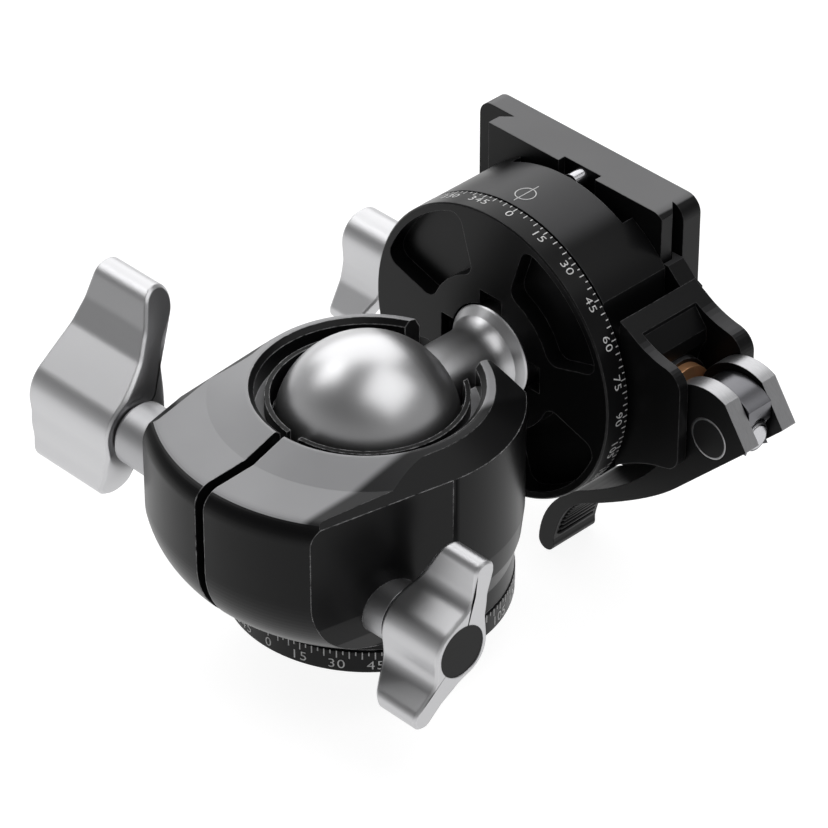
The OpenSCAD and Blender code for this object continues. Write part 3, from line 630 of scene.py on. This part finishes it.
def makeTabRidges(look):
    shape = bmesh.new()
    sides, near, far = look["sides"], look["near"], look["far"]
    inward, narrow = look["endLength"], look["endSwell"]
    for i in range(look["count"]):
        t = look["from"] + (look["to"] - look["from"]) * i / (look["count"] - 1)
        point = tabCurve(t)
        rings = []
        for y, swell in ((near, narrow), (near + inward, 1.0), (far - inward, 1.0), (far, narrow)):
            ring = []
            for k in range(sides):
                turn = 2 * math.pi * k / sides
                x = point.x + look["radius"] * swell * math.cos(turn)
                h = point.y + look["radius"] * swell * math.sin(turn)
                ring.append(shape.verts.new(Vector((x, y, h + ballHeight)) * mm))
            rings.append(ring)
        joinRings(shape, rings)
        shape.faces.new(rings[0])
        shape.faces.new(rings[-1])
    mesh = meshFrom("tabRidges", shape)
    addPiece("tabRidges", mesh, "lever", "leverBlack", smooth=True)


makeTabRidges(tabRidges)
print("tab ridges made")


# winged knobs: a hub with two bent wings, worked out as one smooth outline and drawn out along the axis;
# each wing is [tip distance, tip radius, neck distance, neck radius, neck angle]

knobs = {
    "main_knob": {
        "piece": "mainKnobTurned", "body": "main_lock", "side": -1, "start": (28.0, -24.5, 28.5),
        "hub": 6.3, "length": 19.0, "slope": 0.47, "bore": 3.03, "cap": 4.9, "points": 300,
        "wings": [(126.0, (19.0, 3.3, 12.2, 2.3, -3.4)), (285.3, (10.3, 3.1, 5.9, 2.9, 17.0))],
    },
    "pan_knob": {
        "piece": "baseKnobTurned", "body": "base_lock", "side": 1, "start": (25.5, -16.5, 16.4),
        "hub": 5.55, "length": 12.5, "slope": 0.5, "bore": 2.53, "cap": 4.6, "points": 260,
        "wings": [(68.6, (13.5, 2.05, 7.5, 1.9, -7.2)), (226.4, (11.9, 2.1, 6.0, 2.3, 8.8))],
    },
    "clamp_knob": {
        "piece": "clampKnobTurned", "body": "clamp_lock", "side": -1, "start": (29.0, 37.0, 32.0),
        "hub": 4.6, "length": 11.2, "slope": 0.5, "bore": 1.53, "cap": 3.6, "points": 200,
        "wings": [(-65.0, (13.6, 1.8, 6.4, 1.9, 0.0))],
    },
}
knobEdges = {
    "chamfer": 0.42, "blend": 1.8, "thinner": 0.42, "recess": 1.5, "hubGap": 0.05, "sharpFrom": 28,
}
knobSearch = {"rays": 1440, "inside": 0.5, "reach": 25.0, "step": 0.1, "rounds": 12}


# how far points lie outside two circles joined by straight sides; inside it is less than nothing

def capsuleDistance(points, start, startRadius, end, endRadius):
    along = end - start
    length = np.hypot(*along)
    along = along / length
    arm = points - start
    forward = arm @ along
    aside = np.abs(arm[:, 0] * along[1] - arm[:, 1] * along[0])
    lean = (startRadius - endRadius) / length
    upright = math.sqrt(1 - lean * lean)
    place = upright * forward - lean * aside
    nearStart = np.hypot(aside, forward) - startRadius
    nearEnd = np.hypot(aside, forward - length) - endRadius
    between = upright * aside + lean * forward - startRadius
    return np.where(place < 0, nearStart, np.where(place > upright * length, nearEnd, between))


def polar(distance, degrees):
    turn = math.radians(degrees)
    return np.array([distance * math.cos(turn), distance * math.sin(turn)])


# the same for the whole knob: a hub, and wings whose two halves flow into each other over the blend

def knobDistance(points, look):
    nearest = np.hypot(points[:, 0], points[:, 1]) - look["hub"]
    for turn, (tipAt, tipRadius, neckAt, neckRadius, neckAngle) in look["wings"]:
        tip = polar(tipAt, turn)
        neck = polar(neckAt, turn + neckAngle)
        neckRadius = neckRadius - knobEdges["thinner"]
        inner = capsuleDistance(points, np.zeros(2), look["hub"], neck, neckRadius)
        outer = capsuleDistance(points, neck, neckRadius, tip, tipRadius)
        blend = knobEdges["blend"]
        share = np.maximum(blend - np.abs(inner - outer), 0) / blend
        wing = np.minimum(inner, outer) - share * share * blend / 4
        nearest = np.minimum(nearest, wing)
    return nearest


# the way straight out of the outline at each point

def knobSlope(points, look):
    small = 0.01
    shiftX, shiftY = np.array([small, 0.0]), np.array([0.0, small])
    slopeX = knobDistance(points + shiftX, look) - knobDistance(points - shiftX, look)
    slopeY = knobDistance(points + shiftY, look) - knobDistance(points - shiftY, look)
    slope = np.stack([slopeX, slopeY], axis=1)
    return slope / np.linalg.norm(slope, axis=1, keepdims=True)


# the outline: found roughly along rays, spaced evenly along its length, then moved exactly onto the shape

def knobOutline(look):
    angles = np.linspace(0, 2 * math.pi, knobSearch["rays"], endpoint=False)
    directions = np.stack([np.cos(angles), np.sin(angles)], axis=1)
    radii = np.zeros(len(angles))
    for radius in np.arange(look["hub"] - knobSearch["inside"], knobSearch["reach"], knobSearch["step"]):
        inside = knobDistance(directions * radius, look) < 0
        radii[inside] = radius
    coarse = directions * radii[:, None]
    closed = np.vstack([coarse, coarse[:1]])
    travelled = np.concatenate([[0], np.cumsum(np.linalg.norm(np.diff(closed, axis=0), axis=1))])
    wanted = np.linspace(0, travelled[-1], look["points"], endpoint=False)
    points = np.stack([np.interp(wanted, travelled, closed[:, k]) for k in (0, 1)], axis=1)
    for attempt in range(knobSearch["rounds"]):
        points = points - knobSlope(points, look) * knobDistance(points, look)[:, None]
    return points


def makeKnob(name, look):
    outline = knobOutline(look)
    inset = outline - knobSlope(outline, look) * knobEdges["chamfer"]
    direction = inset / np.linalg.norm(inset, axis=1, keepdims=True)
    hubRadius = np.minimum(look["hub"], np.hypot(inset[:, 0], inset[:, 1]) - knobEdges["hubGap"])
    front = look["length"]
    floorOfRecess = front - knobEdges["recess"]

    def sweptBack(points):
        return np.maximum(0, (np.hypot(points[:, 0], points[:, 1]) - look["hub"]) * look["slope"])

    def ring(points, height):
        return np.column_stack([points, np.broadcast_to(height, len(points))])

    # from the bore out over the back of the hub and wings, over the front and down into the cap's recess
    loops = [
        ring(direction * look["bore"], 0.0),
        ring(direction * hubRadius[:, None], 0.0),
        ring(inset, sweptBack(inset)),
        ring(outline, sweptBack(outline) + knobEdges["chamfer"]),
        ring(outline, front - knobEdges["chamfer"]),
        ring(inset, front),
        ring(direction * look["cap"], front),
        ring(direction * look["cap"], floorOfRecess),
        ring(direction * look["bore"], floorOfRecess),
    ]
    side = look["side"]
    startX, startY, startZ = look["start"]
    shape = bmesh.new()
    rows = []
    for loop in loops:
        row = []
        for a, b, c in loop:
            row.append(shape.verts.new(Vector((side * (startX + c), startY + side * a, startZ + b)) * mm))
        rows.append(row)
    joinRings(shape, rows + rows[:1])
    mesh = meshFrom(look["piece"], shape)
    piece = addPiece(look["piece"], mesh, look["body"], "knobSilver", smooth=True)
    mesh.set_sharp_from_angle(angle=math.radians(knobEdges["sharpFrom"]))
    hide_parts(name)


for name, look in knobs.items():
    makeKnob(name, look)
print("knobs made:", len(knobs))


# threads: a surface whose radius rises and falls along a helix

def alongY(radius, turn, distance, centre):
    return Vector((centre[0] + radius * math.cos(turn), distance, centre[1] + radius * math.sin(turn))) * mm


def alongX(radius, turn, distance, centre):
    return Vector((distance, centre[0] + radius * math.cos(turn), centre[1] + radius * math.sin(turn))) * mm


threadShape = {"sides": 32, "perPitch": 8, "tip": 0.92, "runIn": 0.2, "runInFrom": 0.3}


def makeThread(name, look, direction, body):
    shape = bmesh.new()
    sides = threadShape["sides"]
    minor, major = look["minor"], look["major"]
    tip = minor * threadShape["tip"]
    count = int((look["to"] - look["from"]) / look["pitch"] * threadShape["perPitch"])
    rows = []
    for i in range(count + 1):
        distance = look["from"] + (look["to"] - look["from"]) * i / count
        runIn = (distance - look["from"]) / threadShape["runIn"] + threadShape["runInFrom"]
        ends = max(0, min(1.0, (look["to"] - distance) / look["chamfer"], runIn))
        row = []
        for k in range(sides):
            phase = (distance / look["pitch"] - k / sides) % 1.0
            rise = 1 - abs(2 * phase - 1)
            radius = min(minor + (major - minor) * rise, tip + (major - tip) * ends)
            turn = 2 * math.pi * k / sides
            row.append(shape.verts.new(direction(radius, turn, distance, look["centre"])))
        rows.append(row)
    joinRings(shape, rows)
    shape.faces.new(rows[0])
    shape.faces.new(rows[-1])
    addPiece(name, meshFrom(name, shape), body, "steelTurned")


rodThread = {
    "major": 2.62, "minor": 2.2, "pitch": 0.8, "from": 44.0, "to": 46.1, "chamfer": 0.5,
    "centre": (rodAlong, ballHeight),
}
cameraThread = {
    "major": 3.30, "minor": 3.10, "pitch": 1.27, "from": 56.5, "to": 61.3, "chamfer": 0.4,
    "centre": (0.0, ballHeight),
}
stopThreads = {"major": 1.56, "minor": 1.25, "pitch": 0.5, "from": 45.60, "to": 47.4, "chamfer": 0.3}
stopHeights = {"Upper": 56.1, "Lower": 7.9}

makeThread("rodEndThread", rodThread, alongX, "clamp")
for label, height in stopHeights.items():
    makeThread("stopThread" + label, {**stopThreads, "centre": (0.0, height)}, alongY, "plate")
makeThread("cameraScrewThread", cameraThread, alongY, "camera_screw")
print("threads made")


# ribs that grip the camera, moulded across the rubber pad and stopped short of the screw's hole

padRibs = {
    "first": -22.6, "last": 16.2, "pitch": 1.6, "wide": 0.7, "from": 55.9, "to": 56.22, "low": 9.2,
    "high": 54.8, "hole": 6.2,
}


def onPad(u, v, w):
    return Vector((u, w, v)) * mm


def makePadRibs(look):
    shape = bmesh.new()
    half = look["wide"] / 2
    count = int((look["last"] - look["first"]) / look["pitch"]) + 1
    for i in range(count):
        x = look["first"] + look["pitch"] * i
        gap = math.sqrt(max(0.0, look["hole"] ** 2 - x * x))
        spans = [(look["low"], look["high"])]
        if gap:
            spans = [(look["low"], ballHeight - gap), (ballHeight + gap, look["high"])]
        for low, high in spans:
            addBlock(shape, (x - half, low, look["from"]), (x + half, high, look["to"]), onPad)
    addPiece("padRibs", meshFrom("padRibs", shape), "plate", "padRubber")


makePadRibs(padRibs)
print("pad ribs made")


# world: white for the camera, a grey that darkens upward in reflections, and a low even level for the rest

worldSetup = {"ambient": 0.18, "zenith": 0.14, "horizon": 0.60, "fadeTo": 0.6}


def makeWorld(setup):
    world = bpy.data.worlds.new("studio")
    world.use_nodes = True
    bpy.context.scene.world = world
    tree = world.node_tree
    background = tree.nodes["Background"]
    ray = addNode(tree, "LightPath")
    direction = addNode(tree, "TexCoord").outputs["Generated"]
    height = addNode(tree, "SeparateXYZ", {0: direction}).outputs["Z"]
    sockets = {
        "Value": height, "From Min": 0.0, "From Max": setup["fadeTo"], "To Min": setup["horizon"],
        "To Max": setup["zenith"],
    }
    fall = addNode(tree, "MapRange", sockets).outputs[0]
    mirrored = maths(tree, "MAXIMUM", ray.outputs["Is Glossy Ray"], ray.outputs["Is Transmission Ray"])
    sockets = {"Factor": mirrored, 2: setup["ambient"], 3: fall}
    level = addNode(tree, "Mix", sockets, data_type="FLOAT").outputs[0]
    sockets = {"Factor": ray.outputs["Is Camera Ray"], 2: level, 3: 1.0}
    level = addNode(tree, "Mix", sockets, data_type="FLOAT").outputs[0]
    background.inputs["Color"].default_value = (1, 1, 1, 1)
    tree.links.new(level, background.inputs["Strength"])


makeWorld(worldSetup)


# floor: pale, just below the lever's tab; the camera and reflections see it white, with its shadow kept

floorSetup = {
    "height": -9.3, "reach": 0.9, "sides": 64, "colour": (0.82, 0.82, 0.82), "roughness": 0.8,
    "lift": 0.90, "shadow": 0.30,
}


def makeFloor(setup):
    shape = bmesh.new()
    reach, steps = setup["reach"], setup["sides"]
    rim = []
    for i in range(steps):
        turn = 2 * math.pi * i / steps
        rim.append(shape.verts.new((reach * math.cos(turn), reach * math.sin(turn), setup["height"] * mm)))
    shape.faces.new(rim)
    mesh = bpy.data.meshes.new("floor")
    shape.to_mesh(mesh)
    shape.free()
    floor = bpy.data.objects.new("floor", mesh)
    bpy.context.scene.collection.objects.link(floor)
    material = bpy.data.materials.new("paleFloor")
    material.use_nodes = True
    tree = material.node_tree
    shader = tree.nodes["Principled BSDF"]
    shader.inputs["Base Color"].default_value = (*setup["colour"], 1)
    shader.inputs["Roughness"].default_value = setup["roughness"]
    shader.inputs["Specular IOR Level"].default_value = 0.0
    ray = addNode(tree, "LightPath").outputs
    seen = maths(tree, "MAXIMUM", ray["Is Camera Ray"], ray["Is Glossy Ray"])
    seen = maths(tree, "MAXIMUM", seen, ray["Is Transmission Ray"])
    paper = addNode(tree, "BsdfDiffuse", {"Color": (setup["shadow"],) * 3 + (1,)})
    white = addNode(tree, "Emission", {"Color": (1, 1, 1, 1), "Strength": setup["lift"]})
    both = addNode(tree, "AddShader", {0: paper.outputs[0], 1: white.outputs[0]})
    chosen = addNode(tree, "MixShader", {0: seen, 1: shader.outputs[0], 2: both.outputs[0]})
    tree.links.new(chosen.outputs[0], tree.nodes["Material Output"].inputs["Surface"])
    mesh.materials.append(material)


makeFloor(floorSetup)


# lamps: plain soft boxes; the place is given by azimuth and height as seen from the head

lamps = {
    "keyBehindLeft": {
        "azimuth": 232.0, "elevation": 38.0, "distance": 0.75, "size": (0.95, 0.80), "level": 1.7,
    },
    "topBox": {
        "azimuth": 115.0, "elevation": 64.0, "distance": 0.80, "size": (0.80, 0.70), "level": 1.6,
    },
    "leftBox": {
        "azimuth": -71.0, "elevation": 47.0, "distance": 0.80, "size": (0.30, 0.40), "level": 2.2,
    },
}


def addLamp(name, look):
    away = towards(look["azimuth"], look["elevation"])
    data = bpy.data.lights.new(name, "AREA")
    data.shape = "RECTANGLE"
    data.size, data.size_y = look["size"]
    data.energy = look["level"] * math.pi * look["size"][0] * look["size"][1]
    light = bpy.data.objects.new(name, data)
    light.location = ballCentre + away * look["distance"]
    light.rotation_euler = (-away).to_track_quat("-Z", "Y").to_euler()
    light.visible_camera = False
    bpy.context.scene.collection.objects.link(light)


for name, look in lamps.items():
    addLamp(name, look)
print("floor, world and lamps set")
